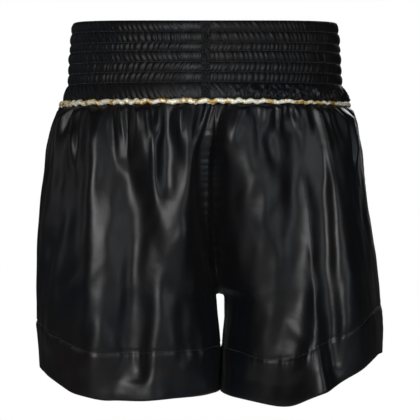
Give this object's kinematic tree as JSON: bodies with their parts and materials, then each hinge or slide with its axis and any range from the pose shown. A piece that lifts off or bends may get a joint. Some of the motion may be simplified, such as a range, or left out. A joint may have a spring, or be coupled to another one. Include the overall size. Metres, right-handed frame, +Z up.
{
  "type": "boxing shorts",
  "caption": "Black satin boxing shorts with a wide waistband shirred over six rows of elastic, gold piping round the waist seam, full gathered legs and deep curved hems.",
  "frame": {"origin": "middle of the waistband, on the vertical line through the middle of the waist oval", "axes": "+Z up as worn, +X the wearer's right, -Y the back and +Y the front"},
  "size_m": [0.3487, 0.2184, 0.3772],
  "materials": {
    "black_satin": "satin",
    "gold_lame": "metallic",
    "black_thread": "matte",
    "overlock": "matte",
    "elastic": "matte",
    "cotton_cord": "matte",
    "white_tape": "satin"
  },
  "bodies": {
    "root": {"waistband_cover": "black_satin", "waistband_lining": "black_satin", "waistband_join": "black_satin", "waistband_join_stitches": "black_thread", "channel_stitches": "black_thread", "piping_cover": "gold_lame", "piping_core": "cotton_cord", "left_back_panel": "black_satin", "left_front_panel": "black_satin", "right_back_panel": "black_satin", "right_front_panel": "black_satin", "left_hem_facing": "black_satin", "right_hem_facing": "black_satin", "left_hem_stitches": "black_thread", "right_hem_stitches": "black_thread", "waist_seam_allowance": "overlock", "centre_back_seam": "overlock", "centre_front_seam": "overlock", "left_side_seam": "overlock", "right_side_seam": "overlock", "left_inseam": "overlock", "right_inseam": "overlock", "care_label": "white_tape", "elastic_tape_1": "elastic", "elastic_tape_2": "elastic", "elastic_tape_3": "elastic", "elastic_tape_4": "elastic", "elastic_tape_5": "elastic", "elastic_tape_6": "elastic"}
  },
  "joints": []
}
